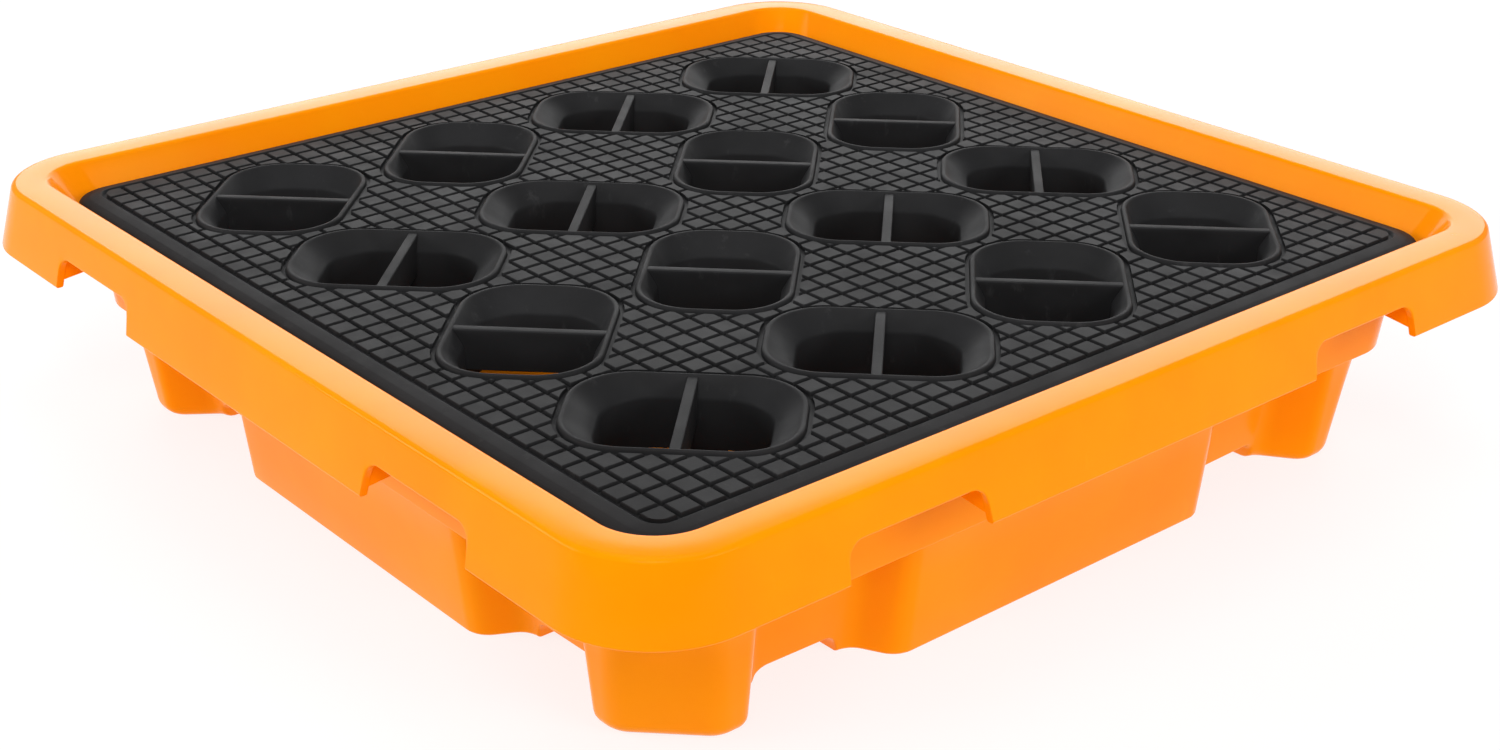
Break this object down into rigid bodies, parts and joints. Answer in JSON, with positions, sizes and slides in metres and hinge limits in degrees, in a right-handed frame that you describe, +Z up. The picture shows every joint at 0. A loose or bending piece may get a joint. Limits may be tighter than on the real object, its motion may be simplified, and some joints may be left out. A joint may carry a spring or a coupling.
{
  "type": "spill containment pallet",
  "caption": "Low square spill pallet: a one-piece sump tray with flared rim, corner feet and hand notches, and a lift-out gripped deck of drain cups.",
  "frame": {"origin": "centre of the footprint, on the ground under the feet", "axes": "+Z up, +X and +Y square to the four equal sides; the side facing -Y is called the front"},
  "size_m": [0.672, 0.672, 0.145],
  "materials": {
    "sump_plastic": "semi-gloss moulded polyethylene",
    "deck_plastic": "satin moulded polyethylene with an anti-slip grid"
  },
  "bodies": {
    "sump": {"sump_tray": "sump_plastic", "sump_rim": "sump_plastic"},
    "deck": {"deck_panel": "deck_plastic", "deck_legs": "deck_plastic", "drain_cup_1_1": "deck_plastic", "drain_cup_2_1": "deck_plastic", "drain_cup_3_1": "deck_plastic", "drain_cup_4_1": "deck_plastic", "drain_cup_1_2": "deck_plastic", "drain_cup_2_2": "deck_plastic", "drain_cup_3_2": "deck_plastic", "drain_cup_4_2": "deck_plastic", "drain_cup_1_3": "deck_plastic", "drain_cup_2_3": "deck_plastic", "drain_cup_3_3": "deck_plastic", "drain_cup_4_3": "deck_plastic", "drain_cup_1_4": "deck_plastic", "drain_cup_2_4": "deck_plastic", "drain_cup_3_4": "deck_plastic", "drain_cup_4_4": "deck_plastic"}
  },
  "joints": [
    {"name": "deck_lift", "type": "slide", "parent": "sump", "child": "deck", "axis": [0, 0, 1], "range_m": [0, 0.16]}
  ]
}
